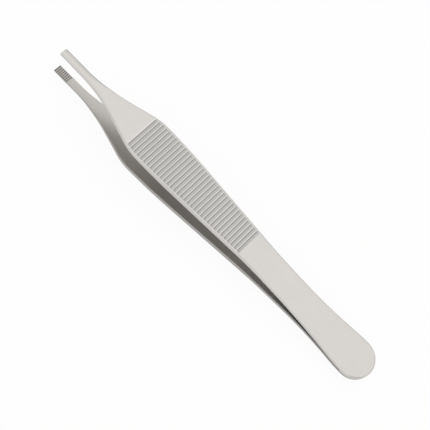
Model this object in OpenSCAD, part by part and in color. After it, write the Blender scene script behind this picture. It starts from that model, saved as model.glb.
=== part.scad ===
// Thumb forceps with broad ribbed grips and slim toothed jaws.
// Two steel arms are welded at the heel. The instrument lies on its lower arm,
// with the jaws towards -X, the heel towards +X and the table at z = 0.

/* [Outline] */
// Length from the jaw tips to the end of the heel
total_length = 120; // [116:1:126]
// Width of a jaw at its tip
tip_width = 2.54; // [2.3:0.02:3]
// Width of a jaw where the arm begins to widen
jaw_root_width = 2.74; // [2.5:0.02:3.4]
// Width across the broadest part of the grip
grip_width = 13.2; // [12:0.1:14]
// Width across the waist between the grip and the heel
waist_width = 8.9; // [8:0.1:10]
// Width across the rounded heel
heel_width = 11.7; // [10.5:0.1:12.5]
// Distance from the tips to where the arm begins to widen
jaw_length = 8; // [7:0.5:9]
// Distance from the tips to the end of the shoulder
shoulder_at = 34.5; // [33:0.5:36]
// Distance from the heel's end to the waist
waist_from_heel = 32; // [30:0.5:34]

/* [Thickness] */
// Thickness of the jaw
jaw_thickness = 1.1; // [1:0.05:1.3]
// Thickness of the grip
grip_thickness = 1.5; // [1.4:0.05:1.8]
// Thickness of the spring part and the heel
spring_thickness = 1.12; // [1:0.02:1.3]
// Radius of the outer edges along the grip, the spring part and the heel
edge_round = 0.45; // [0.3:0.05:0.5]
// Bevel along the inner edges
inner_bevel = 0.14; // [0.08:0.02:0.2]

/* [Opening] */
// Clear distance between the jaws at their tips
jaw_opening = 9.4; // [8:0.1:11]
// Extra outward bow of each arm just in front of the weld
heel_bow = 1.07; // [0.8:0.05:1.3]
// Length of the weld, from the heel's end
weld_length = 6.5; // [6:0.5:8]

/* [Grip ribs] */
// Number of grooves across the grip
groove_count = 34; // [26:1:34]
// Distance from one groove to the next
groove_pitch = 1.236; // [1.1:0.004:1.24]
// Depth of a groove
groove_depth = 0.2; // [0.1:0.05:0.3]
// Distance from the tips to the first groove
grip_start = 30.3; // [29:0.1:31]

/* [Jaw teeth] */
// Number of teeth in a row
tooth_count = 7; // [5:1:7]
// Distance from one tooth to the next
tooth_pitch = 0.62; // [0.5:0.02:0.66]
// Depth between the teeth
tooth_depth = 0.17; // [0.1:0.01:0.2]

/* [Hidden] */
steel = "#d6d3ce";

// Places along an arm, measured from the tips
weld_at = total_length - weld_length;
heel_centre = total_length - heel_width / 2;
waist_at = total_length - waist_from_heel;
grip_end = grip_start + groove_count * groove_pitch;
balance_at = 0.525 * total_length;

// Arc lengths at the two ends of each change of width, thickness or bow
throat_arc = 13.5;
shoulder_arc = 5;
grip_flat = 2.5;
grip_taper_arcs = [18, 12];
heel_flare_arcs = [18, 4.7];
opening_arcs = [15, 16];
bow_reach = 42;
bow_arcs = [20, 20];

// Stretches over which the thickness and the edges change. Between the first two the
// back of the arm is straight, and the instrument lies on that part of it.
jaw_thickens = [22, 50];
grip_thins = [73, 85];
grip_thinning_arcs = [3, 6];
jaw_rounding_ends = [9, 18];
jaw_side_height = 0.3;
jaw_round_share = 0.8;
jaw_crown = 0.06;
jaw_bevel = 0.06;
weld_bevel = 0.04;

// Cross-section details of the ribs and the teeth
groove_flank = 0.3;
groove_runout = 0.35;
tooth_start = 0.3;
column_gap = 0.14;
tip_bevel = 0.1;
heel_turns = [15, 30, 45, 60, 73, 84];
spine_share = 0.8;
corner_turns = [0, 30, 60, 90];

// Rise from 0 to rise between x0 and x1: an arc, a straight slope and an arc back
function sweep(x, x0, x1, rise, arcs) =
    let (run = x1 - x0)
    let (slope = rise / (run - (arcs[0] + arcs[1]) / 2))
    let (d = min(max(x - x0, 0), run))
    d < arcs[0] ? slope * d * d / (2 * arcs[0])
    : d < run - arcs[1] ? slope * (d - arcs[0] / 2)
    : rise - slope * pow(run - d, 2) / (2 * arcs[1]);

// A sweep made of two equal arcs
function blend(x, x0, x1, rise) = sweep(x, x0, x1, rise, [(x1 - x0) / 2, (x1 - x0) / 2]);

// Half the width of the arm at a distance x from the tips
function half_width(x) =
    (tip_width
     + (jaw_root_width - tip_width) * min(x / jaw_length, 1)
     + sweep(x, jaw_length, shoulder_at, grip_width - jaw_root_width, [throat_arc, shoulder_arc])
     + sweep(x, shoulder_at + grip_flat, waist_at, waist_width - grip_width, grip_taper_arcs)
     + sweep(x, waist_at, heel_centre, heel_width - waist_width, heel_flare_arcs)) / 2;

// Thickness of the arm
function thickness(x) =
    jaw_thickness
    + blend(x, jaw_thickens[0], jaw_thickens[1], grip_thickness - jaw_thickness)
    + sweep(x, grip_thins[0], grip_thins[1], spring_thickness - grip_thickness, grip_thinning_arcs);

// Height of the inner face above the plane of the weld
function inner_height(x) =
    sweep(weld_at - x, 0, weld_at, jaw_opening / 2 - heel_bow, opening_arcs)
    + sweep(weld_at - x, 0, bow_reach, heel_bow, bow_arcs);

// How far the section has gone from the jaw's round back, 0, to the flat arm, 1
function flatness(x) = blend(x, jaw_rounding_ends[0], jaw_rounding_ends[1], 1);

function mix(a, b, share) = a + (b - a) * share;
function steps(from, to, count) = [for (i = [0:count]) from + (to - from) * i / count];

// A ring of the loft: place, tooth depth, groove depth, turn round the heel and end bevel
function ring(x, tooth = 0, groove = 0, turn = 0, bevel = 0) = [x, tooth, groove, turn, bevel];

// Rings along the jaw, where each tooth has a crest and a valley
function jaw_rings(phase) =
    let (start = tooth_start + phase * tooth_pitch / 2)
    concat(
        [ring(0, bevel = tip_bevel), ring(tip_bevel)],
        [for (i = [0:tooth_count - 1], half = [0, 1])
            ring(start + (i + half / 2) * tooth_pitch, tooth = half * tooth_depth)],
        [ring(start + tooth_count * tooth_pitch)]);

// Rings along the throat and the straight flare in front of the grip
flare_rings = [for (x = concat(steps(6.5, 21.5, 8), [25, 28])) ring(x)];

// Rings along the grip, where each groove has an edge and two corners of its floor
grip_rings = concat(
    [for (i = [0:groove_count - 1])
        each [
            ring(grip_start + i * groove_pitch),
            ring(grip_start + i * groove_pitch + groove_flank, groove = groove_depth),
            ring(grip_start + (i + 1) * groove_pitch - groove_flank, groove = groove_depth)
        ]],
    [ring(grip_end)]);

// Rings along the spring part, and round the heel's end
spring_rings = [for (x = steps(grip_end + 4, weld_at, 9)) ring(x)];
heel_rings = concat([ring(heel_centre)], [for (turn = heel_turns) ring(heel_centre, turn = turn)]);

// Half the section of a ring, from the middle of the inner face round to the middle
// of the outer face: distance from the middle line and height above the inner face
function half_section(r) =
    let (x = r[0], tooth = r[1], groove = r[2], end = r[4])
    let (w = half_width(x) - end)
    let (flat = flatness(x))
    let (crown = mix(jaw_crown, 0, flat))
    let (top = thickness(x) - end - crown)
    let (round_w = mix(w * jaw_round_share, edge_round, flat))
    let (round_h = mix(top - jaw_side_height, edge_round, flat))
    let (bevel = mix(jaw_bevel, x < weld_at ? inner_bevel : weld_bevel, flat))
    let (toothed = x < tooth_start + (tooth_count + 0.25) * tooth_pitch)
    let (floor_w = w - round_w - min(groove_runout, (w - round_w) / 2))
    concat(
        [[0, end + (toothed ? tooth_depth : 0)],
         [min(column_gap, w / 2), end + tooth],
         [w - bevel, end + tooth],
         [w, end + tooth + bevel]],
        [for (a = corner_turns) [w - round_w * (1 - cos(a)), top - round_h * (1 - sin(a))]],
        [[floor_w, top + crown * 3 / 4 - groove],
         [0, top + crown - groove]]);

// Place in plan of a point of the section at distance y from the middle line. Round the
// heel the section is set square to the outline, and its middle keeps to the middle line.
function in_plan(r, y) =
    let (w = half_width(r[0]))
    let (out = [sin(r[3]), cos(r[3])])
    let (edge = [r[0], 0] + w * out)
    let (spine = [r[0] + spine_share * w * (1 - cos(r[3])), 0])
    let (shoulder = edge - edge_round * out)
    r[3] == 0 ? [r[0], y]
    : w - y <= edge_round ? edge - (w - y) * out
    : spine + (shoulder - spine) * y / (w - edge_round);

// Lean and lift that lay the lower arm's back on the table, level where the whole balances
function back_height(x) = inner_height(x) + thickness(x);
rest_tilt = atan(back_height(balance_at - 0.5) - back_height(balance_at + 0.5));
rest_lift = max([for (r = grip_rings) back_height(r[0]) * cos(rest_tilt) + r[0] * sin(rest_tilt)]);
tip_reach = -back_height(0) * sin(rest_tilt);
heel_reach = total_length * cos(rest_tilt) + spring_thickness * sin(rest_tilt);

// A point given along the arm, across it and above the weld, set on the table below
// the middle of the instrument
function at_rest(x, y, z) = [
    x * cos(rest_tilt) + z * sin(rest_tilt) - (tip_reach + heel_reach) / 2,
    y,
    z * cos(rest_tilt) - x * sin(rest_tilt) + rest_lift
];

// The whole ring of points, from one side's half section and its mirror image.
// Side is 1 for the arm above the weld and -1 for the arm below it.
function ring_points(r, side) =
    let (half = half_section(r))
    let (last = len(half) - 1)
    let (base = inner_height(r[0]))
    [for (i = concat([for (k = [0:last]) [k, 1]], [for (k = [last - 1:-1:1]) [k, -1]]))
        let (p = half[i[0]])
        let (q = in_plan(r, p[0]))
        at_rest(q[0], i[1] * q[1], side * (base + p[1]))];

// Faces that close the tip's ring: a fan from the middle of its outer face
function tip_cap(size) =
    let (apex = size / 2)
    [for (k = [0:size - 1]) if (k != apex && k != apex - 1) [apex, k, (k + 1) % size]];

// Faces that close the heel's last ring: strips between each point and its mirror image
function heel_cap(first, size) =
    [for (k = [0:size / 2 - 1])
        let (a = first + k, b = first + k + 1)
        let (c = first + size - k - 1, d = first + (size - k) % size)
        each k == 0 ? [[a, c, b]]
        : k == size / 2 - 1 ? [[a, d, b]]
        : [[a, d, c], [a, c, b]]];

// One arm: side is 1 for the arm above the weld and -1 for the arm below it, and phase
// shifts its teeth by that many half pitches
module arm(side, phase) {
    rings = concat(jaw_rings(phase), flare_rings, grip_rings, spring_rings, heel_rings);
    size = len(ring_points(rings[0], side));
    sides = [for (i = [0:len(rings) - 2], k = [0:size - 1])
        let (a = i * size + k, b = i * size + (k + 1) % size)
        each [[a, a + size, b + size], [a, b + size, b]]];
    faces = concat(tip_cap(size), sides, heel_cap((len(rings) - 1) * size, size));
    polyhedron(
        points = [for (r = rings) each ring_points(r, side)],
        faces = side > 0 ? faces : [for (f = faces) [for (k = [len(f) - 1:-1:0]) f[k]]]);
}

// Arm on top as the instrument lies
module upper_arm() {
    color(steel) arm(1, 0);
}

// Arm that lies on the table, its teeth set half a pitch off so that the jaws mesh
module lower_arm() {
    color(steel) arm(-1, 1);
}

upper_arm();
lower_arm();
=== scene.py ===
"""Thumb forceps in satin stainless steel, lying on a pale table under soft studio light."""

import logging
import math
from dataclasses import dataclass, field
from enum import Enum
from typing import Any, NamedTuple, Sequence

import bmesh
import bpy
from mathutils import Matrix, Vector

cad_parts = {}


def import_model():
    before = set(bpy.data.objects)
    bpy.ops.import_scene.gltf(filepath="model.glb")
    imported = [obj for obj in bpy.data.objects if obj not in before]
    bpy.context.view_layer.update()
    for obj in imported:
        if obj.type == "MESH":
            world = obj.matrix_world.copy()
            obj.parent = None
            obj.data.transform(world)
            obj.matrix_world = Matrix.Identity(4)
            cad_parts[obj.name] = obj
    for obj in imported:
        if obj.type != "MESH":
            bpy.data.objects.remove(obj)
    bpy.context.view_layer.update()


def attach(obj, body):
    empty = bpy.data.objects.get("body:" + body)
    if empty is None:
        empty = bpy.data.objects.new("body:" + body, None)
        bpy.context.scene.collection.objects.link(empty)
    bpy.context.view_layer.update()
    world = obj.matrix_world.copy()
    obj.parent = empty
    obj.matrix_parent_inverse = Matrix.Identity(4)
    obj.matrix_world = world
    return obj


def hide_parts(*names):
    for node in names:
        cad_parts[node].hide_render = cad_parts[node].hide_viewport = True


MM = 0.001
WARM_WHITE = (1.0, 0.985, 0.965)
# Power of a soft box for each unit of its radiance and of its area
LAMP_POWER = 4.0
log = logging.getLogger("forceps")

# A smooth slope in four steps: how far across each step lies, and how far down
SLOPE_ACROSS = (0.0, 0.25, 0.5, 0.75, 1.0)
SLOPE_DOWN = (0.0, 0.16, 0.5, 0.84, 1.0)


class Side(Enum):
    """Which of the two arms a piece is, as the sign of its height above the plane of the weld."""

    UPPER = 1
    LOWER = -1


# Painted shade on the ground sides of each arm, from 0 to 1: the lower arm's sides lie in shade
SIDE_PAINTED_SHADE = {Side.UPPER: 0.0, Side.LOWER: 0.55}


class Node(Enum):
    """Shader nodes by the name that this script gives them."""

    COORDINATES = "ShaderNodeTexCoord"
    MAPPING = "ShaderNodeMapping"
    NOISE = "ShaderNodeTexNoise"
    BUMP = "ShaderNodeBump"
    MATH = "ShaderNodeMath"
    MIX = "ShaderNodeMix"
    LIGHT_PATH = "ShaderNodeLightPath"
    ATTRIBUTE = "ShaderNodeAttribute"
    DIFFUSE = "ShaderNodeBsdfDiffuse"
    EMISSION = "ShaderNodeEmission"
    MIX_SHADER = "ShaderNodeMixShader"


class Mark(Enum):
    """What each point of an arm is marked with, from 0 to 1: the cut mark is painted shade, and the wear mark
    is painted highlight with some real wear.
    """

    PAINTED_SHADE = "cut"
    SHEEN_AND_WEAR = "wear"


@dataclass(frozen=True)
class Signal:
    """A socket that takes part in plain arithmetic."""

    graph: "Graph"
    socket: Any

    def _math(self, operation: str, first: Any, second: Any) -> "Signal":
        """Adds a Math node to the graph."""
        return self.graph.add(Node.MATH, {"operation": operation}, {0: first, 1: second}, 0)

    def __add__(self, other: Any) -> "Signal":
        """Returns self + other."""
        return self._math("ADD", self, other)

    def __sub__(self, other: Any) -> "Signal":
        """Returns self - other."""
        return self._math("SUBTRACT", self, other)

    def __rsub__(self, other: Any) -> "Signal":
        """Returns other - self."""
        return self._math("SUBTRACT", other, self)

    def __mul__(self, other: Any) -> "Signal":
        """Returns self * other."""
        return self._math("MULTIPLY", self, other)

    __radd__ = __add__
    __rmul__ = __mul__

    def maximum(self, other: Any) -> "Signal":
        """Returns the larger of self and other."""
        return self._math("MAXIMUM", self, other)


class Graph:
    """A node tree that is filled by calls."""

    def __init__(self, tree: bpy.types.NodeTree) -> None:
        """Keeps the tree.

        Args:
            tree: The material's or the world's own node tree.
        """
        self.tree = tree

    def add(
        self, kind: Node, settings: dict[str, Any], inputs: dict[Any, Any], output: Any
    ) -> Signal:
        """Adds one node.

        Args:
            kind: The node's kind.
            settings: The node's own settings, set before its sockets.
            inputs: A value or a Signal for each input socket, by name or number.
            output: The name or number of the output that is returned.

        Returns:
            The chosen output as a Signal.
        """
        node = self.tree.nodes.new(kind.value)
        for name, value in settings.items():
            setattr(node, name, value)
        for key, value in inputs.items():
            self.feed(node.inputs[key], value)
        return Signal(self, node.outputs[output])

    def feed(self, socket: bpy.types.NodeSocket, value: Any) -> None:
        """Links a Signal to a socket, or sets the socket's value.

        Args:
            socket: The input socket.
            value: A Signal, or a number, colour or vector.
        """
        if isinstance(value, Signal):
            self.tree.links.new(value.socket, socket)
        else:
            socket.default_value = value


@dataclass(frozen=True)
class Rise:
    """A change of size along the arm: an arc, a straight slope and an arc back."""

    start: float
    end: float
    amount: float
    lead: float
    trail: float

    def at(self, x: float) -> float:
        """Returns how much of the change there is at x.

        Args:
            x: Place along the arm, in the units of start and end.

        Returns:
            0 before the start and the whole amount after the end.
        """
        run = self.end - self.start
        slope = self.amount / (run - (self.lead + self.trail) / 2)
        done = min(max(x - self.start, 0.0), run)
        if done < self.lead:
            return slope * done * done / (2 * self.lead)
        if done < run - self.trail:
            return slope * (done - self.lead / 2)
        return self.amount - slope * (run - done) ** 2 / (2 * self.trail)


def blend(start: float, end: float, amount: float = 1.0) -> Rise:
    """Returns a Rise made of two equal arcs.

    Args:
        start: Where it starts.
        end: Where it ends.
        amount: The whole change.

    Returns:
        The Rise.
    """
    return Rise(start, end, amount, (end - start) / 2, (end - start) / 2)


def mix(first: float, second: float, share: float) -> float:
    """Returns the value that lies the given share of the way from first to second."""
    return first + (second - first) * share


def spread(first: float, last: float, count: int) -> list[float]:
    """Returns count + 1 evenly spaced values from first to last."""
    return [mix(first, last, i / count) for i in range(count + 1)]


@dataclass(frozen=True)
class Station:
    """One ring of an arm.

    x is its distance from the tips, tooth and groove are how deep it is cut and inset is how far the tip's
    rounding draws it in, all in mm. turn is its angle round the heel. cut is its painted shade, and wear is
    its painted highlight with some real wear.
    """

    x: float
    tooth: float = 0.0
    groove: float = 0.0
    turn: float = 0.0
    inset: float = 0.0
    cut: float = 0.0
    wear: float = 0.0


class Spot(NamedTuple):
    """A point of a ring: its place in mm from the middle of the inner face, and its marks."""

    y: float
    h: float
    cut: float = 0.0
    wear: float = 0.0


@dataclass(frozen=True)
class ArmShape:
    """The sizes of an arm in mm, with places measured from the tips.

    Each pair of arcs is the length of the arc at the start and at the end of a change of size. A painted
    shade is a mark from 0 to 1, and each other pair is where a change starts and ends.
    """

    length: float = 120.0
    tip_width: float = 2.47
    jaw_root_width: float = 2.55
    grip_width: float = 13.2
    waist_width: float = 8.9
    heel_width: float = 11.7
    jaw_length: float = 8.0
    shoulder_at: float = 34.5
    taper_end: float = 81.2
    waist_at: float = 88.0
    jaw_thickness: float = 1.1
    grip_thickness: float = 1.5
    spring_thickness: float = 1.12
    edge_round: float = 0.45
    inner_round: float = 0.14
    jaw_opening: float = 9.4
    heel_bow: float = 1.07
    weld_length: float = 6.5
    heel_inset: float = 0.035
    flare_arcs: tuple[float, float] = (14.3, 5.4)
    taper_arcs: tuple[float, float] = (14.6, 9.0)
    heel_arcs: tuple[float, float] = (18.0, 4.7)
    opening_arcs: tuple[float, float] = (15.0, 16.0)
    bow_arcs: tuple[float, float] = (20.0, 20.0)
    bow_reach: float = 42.0
    thickening: tuple[float, float] = (22.0, 50.0)
    thinning: tuple[float, float] = (73.0, 85.0)
    thinning_arcs: tuple[float, float] = (3.0, 6.0)
    flattening: tuple[float, float] = (9.0, 18.0)
    jaw_crown: float = 0.06
    jaw_round_share: float = 0.8
    jaw_side_height: float = 0.3
    jaw_edge: float = 0.06
    weld_edge: float = 0.012
    heel_spine_share: float = 0.8
    # Painted shade on the inner faces, where the arms shade each other: at the jaws, along the grips and
    # deepest at the crevice's edges before the weld
    jaw_painted_shade: float = 0.28
    jaw_painted_shade_fades: tuple[float, float] = (20.0, 36.0)
    grip_painted_shade: float = 0.1
    grip_painted_shade_grows: tuple[float, float] = (24.0, 40.0)
    crevice_painted_shade: float = 0.8
    crevice_narrows: tuple[float, float] = (84.0, 110.0)

    @property
    def weld_at(self) -> float:
        """Where the weld starts."""
        return self.length - self.weld_length

    @property
    def heel_centre(self) -> float:
        """Centre of the heel's round end."""
        return self.length - self.heel_inset - self.heel_width / 2

    def half_width(self, x: float) -> float:
        """Works out half the arm's width.

        Args:
            x: Distance from the tips, in mm.

        Returns:
            The distance from the middle line to the edge.
        """
        widening = self.grip_width - self.jaw_root_width
        flare = Rise(self.jaw_length, self.shoulder_at, widening, *self.flare_arcs)
        narrowing = self.waist_width - self.grip_width
        taper = Rise(self.shoulder_at, self.taper_end, narrowing, *self.taper_arcs)
        heel = Rise(self.waist_at, self.heel_centre, self.heel_width - self.waist_width, *self.heel_arcs)
        jaw = (self.jaw_root_width - self.tip_width) * min(x / self.jaw_length, 1.0)
        return (self.tip_width + jaw + flare.at(x) + taper.at(x) + heel.at(x)) / 2

    def thickness(self, x: float) -> float:
        """Works out the arm's thickness.

        Args:
            x: Distance from the tips, in mm.

        Returns:
            The thickness there.
        """
        thickens = blend(*self.thickening, self.grip_thickness - self.jaw_thickness)
        thins = Rise(*self.thinning, self.spring_thickness - self.grip_thickness, *self.thinning_arcs)
        return self.jaw_thickness + thickens.at(x) + thins.at(x)

    def inner_height(self, x: float) -> float:
        """Works out how far the arm bows out.

        Args:
            x: Distance from the tips, in mm.

        Returns:
            The height of the inner face above the plane of the weld.
        """
        opening = Rise(0.0, self.weld_at, self.jaw_opening / 2 - self.heel_bow, *self.opening_arcs)
        bow = Rise(0.0, self.bow_reach, self.heel_bow, *self.bow_arcs)
        return opening.at(self.weld_at - x) + bow.at(self.weld_at - x)

    def inner_painted_shade(self, x: float) -> float:
        """Returns the painted shade on the inner face at x."""
        jaws = self.jaw_painted_shade - blend(*self.jaw_painted_shade_fades, self.jaw_painted_shade).at(x)
        return jaws + blend(*self.grip_painted_shade_grows, self.grip_painted_shade).at(x) + self.crevice(x)

    def crevice(self, x: float) -> float:
        """Returns the painted shade on the edges of the crevice between the arms at x."""
        return blend(*self.crevice_narrows, self.crevice_painted_shade).at(x) if x < self.weld_at else 0.0

    def flatness(self, x: float) -> float:
        """Returns 0 where the jaw's back is round and 1 where the arm is flat."""
        return blend(*self.flattening).at(x)


@dataclass(frozen=True)
class Rest:
    """How the forceps lies on the table: on the straight part of the lower arm's back.

    balance is where the whole balances, and the lowest point lies within grip, both in mm from the tips.
    """

    shape: ArmShape
    balance: float = 63.0
    grip: tuple[float, float] = (30.3, 72.324)
    grip_steps: int = 400
    slope_run: float = 1.0

    def _back(self, x: float) -> float:
        """Returns the height of an arm's back above the plane of the weld."""
        return self.shape.inner_height(x) + self.shape.thickness(x)

    @property
    def matrix(self) -> Matrix:
        """Works out how the arm's own frame lies on the table.

        Returns:
            The turn and the lift to the table's frame, in mm.
        """
        half = self.slope_run / 2
        fall = self._back(self.balance - half) - self._back(self.balance + half)
        lean = math.atan(fall / self.slope_run)
        sine, cosine = math.sin(lean), math.cos(lean)
        height = max(self._back(x) * cosine + x * sine for x in spread(*self.grip, self.grip_steps))
        tip_reach = -self._back(0.0) * sine
        heel_reach = self.shape.length * cosine + self.shape.spring_thickness * sine
        lift = Vector((-(tip_reach + heel_reach) / 2, 0.0, height))
        return Matrix.Translation(lift) @ Matrix.Rotation(lean, 4, "Y")


@dataclass(frozen=True)
class GripRibs:
    """The grooves across the outer face of the grip, in mm, and the painted shade and painted highlight on
    their sides.

    The shaded flank holds the cut mark, painted shade down the side towards the jaws, and the lit flank holds
    the wear mark, painted highlight with some wear, up the other.
    """

    start: float = 30.3
    count: int = 34
    pitch: float = 1.236
    depth: float = 0.2
    crest: float = 0.16
    floor: float = 0.52
    runout: float = 0.38
    shaded_flank: tuple[float, ...] = (0.1, 0.5, 0.78, 0.72, 0.5)
    lit_and_worn_flank: tuple[float, ...] = (0.3, 0.3, 0.4, 0.8, 1.0)
    # The cut marks on the lit flank and on the floor are painted shade deep in the grooves, and the floor's
    # wear mark is a painted cool reflection.
    lit_flank_shade: float = 0.44
    floor_shade: float = 0.45
    floor_sheen: float = 0.3

    def stations(self) -> list[Station]:
        """Works out the rings of the grip.

        Returns:
            A crest, a flank, a floor and a flank for each groove, and the last crest.
        """
        near = self.crest / 2
        flank = (self.pitch - self.crest - self.floor) / 2
        far = self.pitch - near - flank
        # The crest takes the whole wear mark: painted highlight with some wear.
        rings = [(0.0, 0.0, 0.0, 1.0)]
        for across, down, cut in zip(SLOPE_ACROSS, SLOPE_DOWN, self.shaded_flank):
            rings.append((near + flank * across, down, cut, 0.0))
        rings.append((self.pitch / 2, 1.0, self.floor_shade, self.floor_sheen))
        for across, down, wear in zip(SLOPE_ACROSS, reversed(SLOPE_DOWN), self.lit_and_worn_flank):
            rings.append((far + flank * across, down, self.lit_flank_shade * down, wear))
        return [
            Station(self.start + i * self.pitch + place, groove=drop * self.depth, cut=cut, wear=wear)
            for i in range(self.count)
            for place, drop, cut, wear in rings
        ] + [Station(self.start + self.count * self.pitch)]


@dataclass(frozen=True)
class JawTeeth:
    """The teeth across the inner face of a jaw, in mm, with a low ridge between their two columns.

    marks and drops give the place of each ring of a tooth, as a share of the pitch, and its depth, as a share
    of the whole depth; the third list gives its cut mark, which is painted shade in the valleys between the
    teeth.
    """

    start: float = 0.3
    count: int = 7
    pitch: float = 0.62
    depth: float = 0.17
    ridge: float = 0.14
    ridge_top_share: float = 0.4
    ridge_top_drop: float = 0.25
    clear_of_tip: float = 0.12
    marks: tuple[float, ...] = (0.0, 0.12, 0.3, 0.44, 0.5, 0.56, 0.7, 0.88)
    drops: tuple[float, ...] = (0.0, 0.2, 0.62, 0.94, 1.0, 0.94, 0.62, 0.2)
    valley_shades: tuple[float, ...] = (0.0, 0.0, 0.7, 1.0, 1.0, 1.0, 0.7, 0.0)

    def stations(self, phase: int) -> list[Station]:
        """Returns the rings of the teeth.

        Args:
            phase: 0, or 1 for a row that starts half a pitch nearer to the tip and has one more cut, so
                that the two jaws mesh.

        Returns:
            Rings from the first crest that is clear of the tip to the last.
        """
        start = self.start - phase * self.pitch / 2
        count = self.count + phase
        rings = [
            Station(start + (i + mark) * self.pitch, tooth=drop * self.depth, cut=cut)
            for i in range(count)
            for mark, drop, cut in zip(self.marks, self.drops, self.valley_shades)
        ]
        clear = [ring for ring in rings if ring.x > self.clear_of_tip]
        return clear + [Station(start + count * self.pitch)]


@dataclass
class Arm:
    """One arm of the forceps, lofted along its length by extruding a ring of edges.

    Lengths are in mm. How much painted shade lies on its ground sides is given from 0 to 1.
    """

    side: Side
    side_painted_shade: float
    shape: ArmShape = field(default_factory=ArmShape)
    ribs: GripRibs = field(default_factory=GripRibs)
    teeth: JawTeeth = field(default_factory=JawTeeth)
    tip_round: float = 0.1
    tip_steps: int = 3
    after_cuts: float = 0.5
    before_ribs: float = 0.4
    before_weld: float = 0.3
    throat_steps: int = 40
    spring_steps: int = 44
    weld_steps: int = 2
    heel_steps: int = 20
    corner_steps: int = 9
    edge_steps: int = 4
    edge_fade: int = 4
    face_steps: int = 5
    rib_places: tuple[float, ...] = (0.66, 0.33, 0.0)
    sharp_angle: float = math.radians(40.0)
    merge_distance: float = 1e-4

    def stations(self) -> list[Station]:
        """Works out where the arm's rings are and how each is cut.

        Returns:
            Every ring from the tip to the heel's end.
        """
        shape, radius = self.shape, self.tip_round
        tip = [
            Station(radius * (1 - math.cos(a)), inset=radius * (1 - math.sin(a)))
            for a in spread(0.0, math.pi / 2, self.tip_steps)
        ]
        teeth = self.teeth.stations(phase=0 if self.side is Side.UPPER else 1)
        throat_start, throat_end = teeth[-1].x + self.after_cuts, self.ribs.start - self.before_ribs
        throat = [Station(x) for x in spread(throat_start, throat_end, self.throat_steps)]
        ribs = self.ribs.stations()
        spring_start, spring_end = ribs[-1].x + self.after_cuts, shape.weld_at - self.before_weld
        spring = [Station(x) for x in spread(spring_start, spring_end, self.spring_steps)]
        weld = [Station(x) for x in spread(shape.weld_at, shape.heel_centre, self.weld_steps)]
        turns = spread(0.0, math.pi / 2, self.heel_steps)[1:]
        heel = [Station(shape.heel_centre, turn=turn) for turn in turns]
        return tip + teeth + throat + ribs + spring + weld + heel

    def half_section(self, at: Station) -> list[Spot]:
        """Works out one side of a ring, from the middle of the inner face to the middle of the outer face.

        Args:
            at: The ring.

        Returns:
            The points of that side, with y from the middle line and h from the inner face.
        """
        shape, teeth, flat = self.shape, self.teeth, self.shape.flatness(at.x)
        crown = mix(shape.jaw_crown, 0.0, flat)
        w = shape.half_width(at.x) - at.inset
        top = shape.thickness(at.x) - at.inset - crown
        round_w = mix(w * shape.jaw_round_share, shape.edge_round, flat)
        round_h = mix(top - shape.jaw_side_height, shape.edge_round, flat)
        joined = at.x >= shape.weld_at
        edge = mix(shape.jaw_edge, shape.weld_edge if joined else shape.inner_round, flat)
        floor = at.inset + at.tooth
        # plain is the painted shade on the inner face, and side the painted shade on the ground sides and at
        # the crevice; in the teeth the face takes the darker of plain and the tooth valleys' painted shade
        plain = shape.inner_painted_shade(at.x)
        side = max(self.side_painted_shade, shape.crevice(at.x))
        face_shade = max(at.cut, plain) if at.tooth else plain
        ridge_shade = mix(plain, face_shade, teeth.ridge_top_share)
        spots = [
            Spot(0.0, at.inset, plain),
            Spot(teeth.ridge * teeth.ridge_top_share, at.inset + at.tooth * teeth.ridge_top_drop, ridge_shade),
        ]
        spots += [Spot(y, floor, face_shade) for y in spread(teeth.ridge, w - edge, self.face_steps)]
        for a in spread(0.0, math.pi / 2, self.edge_steps)[1:]:
            cut = mix(face_shade, side, math.sin(a) ** self.edge_fade)
            spots.append(Spot(w - edge * (1 - math.sin(a)), floor + edge * (1 - math.cos(a)), cut))
        for a in spread(0.0, math.pi / 2, self.corner_steps):
            # painted shade on the ground side, fading out over the outer corner
            cut = self.side_painted_shade * (1 - math.sin(a))
            spots.append(Spot(w - round_w * (1 - math.cos(a)), top - round_h * (1 - math.sin(a)), cut))
        inner = w - round_w
        runout = min(self.ribs.runout, inner / 2)
        ribbed = bool(at.groove or at.wear)
        places = [(inner - runout * across, down) for across, down in zip(SLOPE_ACROSS, SLOPE_DOWN)][1:]
        places += [((inner - runout) * share, 1.0) for share in self.rib_places]
        for y, down in places:
            height = top + crown * (1 - (y / inner) ** 2) - at.groove * down
            spots.append(Spot(y, height, at.cut * down * ribbed, at.wear * down * ribbed))
        return spots

    def in_plan(self, at: Station, y: float) -> tuple[float, float]:
        """Places a point of a ring in plan, square to the outline round the heel.

        Args:
            at: The ring.
            y: Distance from the middle line along the ring.

        Returns:
            Place along the arm and across it.
        """
        if not at.turn:
            return at.x, y
        w, keep = self.shape.half_width(at.x), self.shape.edge_round
        out = Vector((math.sin(at.turn), math.cos(at.turn)))
        edge = Vector((at.x, 0.0)) + out * w
        if w - y <= keep:
            return tuple(edge - out * (w - y))
        spine = Vector((at.x + self.shape.heel_spine_share * w * (1 - math.cos(at.turn)), 0.0))
        return tuple(spine.lerp(edge - out * keep, y / (w - keep)))

    def ring(self, at: Station, rest: Matrix) -> list[tuple[Vector, Spot]]:
        """Works out a whole ring, in metres on the table.

        Args:
            at: The ring.
            rest: The turn and lift from the arm's frame to the table's, in mm.

        Returns:
            The places and the spots of one side and then those of the other.
        """
        half = self.half_section(at)
        base = self.shape.inner_height(at.x)
        sided = [(spot, 1) for spot in half] + [(spot, -1) for spot in half[-2:0:-1]]
        points = []
        for spot, hand in sided:
            along, across = self.in_plan(at, spot.y)
            place = rest @ Vector((along, hand * across, self.side.value * (base + spot.h)))
            points.append((place * MM, spot))
        return points

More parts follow.
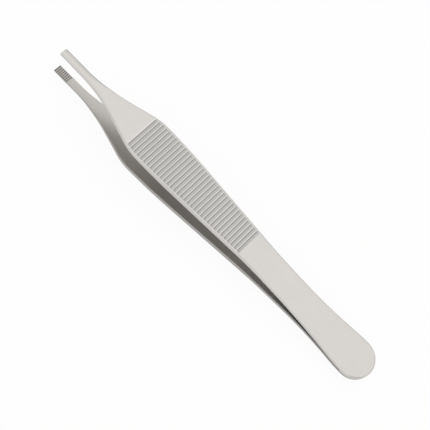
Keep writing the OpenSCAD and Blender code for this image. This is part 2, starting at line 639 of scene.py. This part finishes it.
    def build(self, name: str, rest: Matrix) -> bpy.types.Object:
        """Lofts the arm.

        Args:
            name: The piece's name.
            rest: The turn and lift from the arm's frame to the table's, in mm.

        Returns:
            The finished piece.
        """
        bm = bmesh.new()
        layers = [bm.verts.layers.float.new(mark.value) for mark in (Mark.PAINTED_SHADE, Mark.SHEEN_AND_WEAR)]
        stations = self.stations()
        first = self.ring(stations[0], rest)
        ring = bmesh.ops.create_circle(bm, segments=len(first), radius=1.0)["verts"]
        self.settle(ring, first, layers)
        bmesh.ops.contextual_create(bm, geom=self.loop_edges(ring))
        for at in stations[1:]:
            ring = self.extrude(bm, ring)
            self.settle(ring, self.ring(at, rest), layers)
        bmesh.ops.remove_doubles(bm, verts=bm.verts, dist=self.merge_distance * MM)
        bmesh.ops.recalc_face_normals(bm, faces=bm.faces)
        for face in bm.faces:
            face.smooth = True
        for edge in bm.edges:
            edge.smooth = edge.calc_face_angle(0.0) < self.sharp_angle
        mesh = bpy.data.meshes.new(name)
        bm.to_mesh(mesh)
        bm.free()
        piece = bpy.data.objects.new(name, mesh)
        bpy.context.scene.collection.objects.link(piece)
        return piece

    @staticmethod
    def settle(
        ring: Sequence[bmesh.types.BMVert], points: Sequence[tuple[Vector, Spot]], layers: Sequence[Any]
    ) -> None:
        """Moves a ring's vertices to their places and marks their painted shade and their painted highlight
        with wear.

        Args:
            ring: The vertices.
            points: The place and the spot of each vertex.
            layers: The mesh's layers for the painted shade and for the painted highlight with wear.
        """
        shade_layer, sheen_and_wear_layer = layers
        for vertex, (place, spot) in zip(ring, points):
            vertex.co = place
            vertex[shade_layer] = spot.cut
            vertex[sheen_and_wear_layer] = spot.wear

    @staticmethod
    def loop_edges(ring: Sequence[bmesh.types.BMVert]) -> list[bmesh.types.BMEdge]:
        """Finds the edges of a ring.

        Args:
            ring: The vertices.

        Returns:
            The edges between each vertex and the next, in a fixed order.
        """
        members = set(ring)
        edges = {e for v in ring for e in v.link_edges if e.other_vert(v) in members}
        return sorted(edges, key=lambda e: (e.verts[0].index, e.verts[1].index))

    def extrude(
        self, bm: bmesh.types.BMesh, ring: Sequence[bmesh.types.BMVert]
    ) -> list[bmesh.types.BMVert]:
        """Extrudes a ring of edges.

        Args:
            bm: The mesh.
            ring: The vertices of the last ring, in order.

        Returns:
            The new ring's vertices, in the same order.
        """
        bm.verts.index_update()
        made = bmesh.ops.extrude_edge_only(bm, edges=self.loop_edges(ring))["geom"]
        new = {g for g in made if isinstance(g, bmesh.types.BMVert)}
        return [next(e.other_vert(v) for e in v.link_edges if e.other_vert(v) in new) for v in ring]


@dataclass(frozen=True)
class Speckle:
    """A noise in the finish.

    scale is how fine it is per metre, times stretch along each axis, and detail is how many finer layers
    it has. The rest is how much it does to the colour, the roughness and the relief.
    """

    stretch: tuple[float, float, float]
    scale: float
    detail: float
    colour: float
    roughness: float = 0.0
    relief: float = 0.0


@dataclass(frozen=True)
class SatinSteel:
    """Stainless steel with a fine blasted satin finish, with painted shade in its cuts, hollows and shaded
    sides, and painted highlight with some wear polish on its ribs.
    """

    name: str = "satin_steel"
    colour: tuple[float, float, float, float] = (0.690, 0.674, 0.653, 1.0)
    shade: tuple[float, float, float, float] = (0.506, 0.494, 0.479, 1.0)
    # painted shade for the cut mark, and a cool painted highlight, partly wear polish, for the wear mark
    painted_shade_colour: tuple[float, float, float, float] = (0.17, 0.155, 0.145, 1.0)
    sheen_and_wear_colour: tuple[float, float, float, float] = (0.78, 0.83, 0.88, 1.0)
    sheen_and_wear_share: float = 0.45
    roughness: float = 0.38
    smoother_cut: float = 0.02
    smoother_wear: float = 0.06
    cloud: Speckle = Speckle((90.0, 140.0, 140.0), 1.0, 3.0, 0.35, roughness=0.08)
    grain: Speckle = Speckle((1.0, 1.0, 1.0), 9000.0, 2.0, 0.45, roughness=0.12, relief=0.6)
    polish: Speckle = Speckle((0.05, 1.0, 1.0), 5200.0, 3.0, 0.2, relief=0.4)
    noise_middle: float = 0.5
    bump_strength: float = 0.05
    bump_height: float = 0.00003

    def build(self) -> bpy.types.Material:
        """Builds the finish.

        Returns:
            The material.
        """
        material = bpy.data.materials.new(self.name)
        material.use_nodes = True
        graph = Graph(material.node_tree)
        shader = material.node_tree.nodes["Principled BSDF"]
        place = graph.add(Node.COORDINATES, {}, {}, "Object")
        cut = graph.add(Node.ATTRIBUTE, {"attribute_name": Mark.PAINTED_SHADE.value}, {}, "Fac")
        wear = graph.add(Node.ATTRIBUTE, {"attribute_name": Mark.SHEEN_AND_WEAR.value}, {}, "Fac")
        cloud = self.noise(graph, place, self.cloud)
        grain = self.noise(graph, place, self.grain)
        polish = self.noise(graph, place, self.polish)
        light = cloud * self.cloud.colour + grain * self.grain.colour + polish * self.polish.colour
        colour = self.blend(graph, light, self.shade, self.colour)
        # painted shade where the cut mark lies, then painted highlight with some wear where the wear mark
        # lies
        colour = self.blend(graph, cut, colour, self.painted_shade_colour)
        colour = self.blend(graph, wear * self.sheen_and_wear_share, colour, self.sheen_and_wear_colour)
        graph.feed(shader.inputs["Base Color"], colour)
        shader.inputs["Metallic"].default_value = 1.0
        rough = (cloud - self.noise_middle) * self.cloud.roughness
        rough = rough + (grain - self.noise_middle) * self.grain.roughness
        rough = rough - cut * self.smoother_cut - wear * self.smoother_wear + self.roughness
        graph.feed(shader.inputs["Roughness"], rough)
        relief = grain * self.grain.relief + polish * self.polish.relief
        bump_inputs = {"Strength": self.bump_strength, "Distance": self.bump_height, "Height": relief}
        graph.feed(shader.inputs["Normal"], graph.add(Node.BUMP, {}, bump_inputs, "Normal"))
        return material

    @staticmethod
    def blend(graph: Graph, share: Signal, first: Any, second: Any) -> Signal:
        """Returns the colour that lies the given share of the way from first to second."""
        return graph.add(Node.MIX, {"data_type": "RGBA"}, {0: share, 6: first, 7: second}, 2)

    @staticmethod
    def noise(graph: Graph, place: Signal, speckle: Speckle) -> Signal:
        """Adds a noise over the object's own coordinates.

        Args:
            graph: The material's graph.
            place: The object coordinates.
            speckle: How the noise looks.

        Returns:
            The noise, from 0 to 1.
        """
        mapped = graph.add(Node.MAPPING, {}, {"Vector": place, "Scale": speckle.stretch}, "Vector")
        inputs = {"Vector": mapped, "Scale": speckle.scale, "Detail": speckle.detail}
        return graph.add(Node.NOISE, {}, inputs, 0)


@dataclass(frozen=True)
class SoftBox:
    """A square soft box that faces the forceps.

    place and size are in metres. Its radiance adds to the surrounding light, and 1 is white.
    """

    name: str
    place: tuple[float, float, float]
    size: float
    radiance: float
    colour: tuple[float, float, float] = WARM_WHITE


@dataclass(frozen=True)
class Studio:
    """The table, the light and the camera, with lengths in metres and the lens in mm."""

    boxes: tuple[SoftBox, ...] = (
        SoftBox("soft_box_above", (-0.05, 0.42, 0.85), 1.35, 0.56),
        SoftBox("soft_box_left", (-0.90, 0.40, 0.28), 0.5, 0.7, (0.92, 0.97, 1.0)),
        SoftBox("soft_box_front", (0.05, -0.87, 0.73), 2.0, 0.5),
        SoftBox("soft_box_right", (1.00, 0.30, 0.45), 1.2, 0.4),
    )
    floor_size: float = 3.0
    floor_colour: tuple[float, float, float, float] = (0.90, 0.90, 0.90, 1.0)
    white_share: float = 0.92
    world_strength: float = 0.5
    target: tuple[float, float, float] = (0.200 * MM, 0.379 * MM, 4.266 * MM)
    azimuth: float = math.radians(9.895)
    elevation: float = math.radians(63.604)
    roll: float = math.radians(35.565)
    distance: float = 350.0 * MM
    lens: float = 107.64
    clip_start: float = 10.0 * MM

    def build_floor(self) -> bpy.types.Object:
        """Builds the pale table top.

        Returns:
            The table top.
        """
        bm = bmesh.new()
        bmesh.ops.create_grid(bm, x_segments=1, y_segments=1, size=self.floor_size / 2)
        mesh = bpy.data.meshes.new("table_top")
        bm.to_mesh(mesh)
        bm.free()
        mesh.materials.append(self.floor_finish())
        floor = bpy.data.objects.new("table_top", mesh)
        bpy.context.scene.collection.objects.link(floor)
        return floor

    def floor_finish(self) -> bpy.types.Material:
        """Builds the finish of the table top.

        Returns:
            A matt pale material that shows whiter to the camera and in reflections.
        """
        material = bpy.data.materials.new("table_white")
        material.use_nodes = True
        graph = Graph(material.node_tree)
        material.node_tree.nodes.remove(material.node_tree.nodes["Principled BSDF"])
        matt = graph.add(Node.DIFFUSE, {}, {"Color": self.floor_colour}, 0)
        white = graph.add(Node.EMISSION, {}, {"Color": (1.0, 1.0, 1.0, 1.0), "Strength": 1.0}, 0)
        share = self.seen(graph) * self.white_share
        mixed = graph.add(Node.MIX_SHADER, {}, {0: share, 1: matt, 2: white}, 0)
        graph.feed(material.node_tree.nodes["Material Output"].inputs["Surface"], mixed)
        return material

    @staticmethod
    def seen(graph: Graph) -> Signal:
        """Tells the rays to which the table shows whiter.

        Args:
            graph: The material's graph.

        Returns:
            1 for rays from the camera and for mirrored or refracted rays, else 0.
        """
        camera = graph.add(Node.LIGHT_PATH, {}, {}, "Is Camera Ray")
        glossy = Signal(graph, camera.socket.node.outputs["Is Glossy Ray"])
        glass = Signal(graph, camera.socket.node.outputs["Is Transmission Ray"])
        return camera.maximum(glossy).maximum(glass)

    def build_world(self) -> None:
        """Sets an even pale surrounding."""
        world = bpy.data.worlds.new("studio")
        world.use_nodes = True
        bpy.context.scene.world = world
        background = world.node_tree.nodes["Background"]
        background.inputs["Color"].default_value = (*WARM_WHITE, 1.0)
        background.inputs["Strength"].default_value = self.world_strength

    def build_lamp(self, box: SoftBox) -> None:
        """Adds a square soft box that faces the forceps.

        Args:
            box: Its place, size and light.
        """
        lamp = bpy.data.lights.new(box.name, "AREA")
        lamp.shape = "SQUARE"
        lamp.size = box.size
        lamp.color = box.colour
        lamp.energy = LAMP_POWER * box.radiance * box.size**2
        holder = bpy.data.objects.new(box.name, lamp)
        place = Vector(box.place)
        facing = place.to_track_quat("Z", "Y").to_matrix().to_4x4()
        holder.matrix_world = Matrix.Translation(place) @ facing
        holder.visible_camera = False
        bpy.context.scene.collection.objects.link(holder)

    def build_camera(self) -> None:
        """Sets the camera at the photograph's angle, turned about its own axis as the photograph is."""
        back = Vector(
            (
                math.sin(self.azimuth) * math.cos(self.elevation),
                -math.cos(self.azimuth) * math.cos(self.elevation),
                math.sin(self.elevation),
            )
        )
        camera = bpy.data.cameras.new("camera")
        camera.lens = self.lens
        camera.clip_start = self.clip_start
        holder = bpy.data.objects.new("camera", camera)
        level = back.to_track_quat("Z", "Y").to_matrix().to_4x4()
        turn = Matrix.Rotation(self.roll, 4, "Z")
        place = Vector(self.target) + back * self.distance
        holder.matrix_world = Matrix.Translation(place) @ level @ turn
        bpy.context.scene.collection.objects.link(holder)
        bpy.context.scene.camera = holder

    def build(self) -> None:
        """Builds the whole studio and sets the plain view transform."""
        self.build_floor()
        self.build_world()
        for box in self.boxes:
            self.build_lamp(box)
        self.build_camera()
        bpy.context.scene.view_settings.view_transform = "Standard"


def main() -> None:
    """Builds the studio and the two arms."""
    logging.basicConfig(level=logging.INFO, format="%(message)s")
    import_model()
    Studio().build()
    steel = SatinSteel().build()
    for side, node in ((Side.UPPER, "upper_arm"), (Side.LOWER, "lower_arm")):
        arm = Arm(side, SIDE_PAINTED_SHADE[side])
        piece = arm.build(node + "_steel", Rest(arm.shape).matrix)
        piece.data.materials.append(steel)
        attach(piece, "root")
        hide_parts(node)
        log.info("%s: %d faces", piece.name, len(piece.data.polygons))


if __name__ == "__main__":
    main()
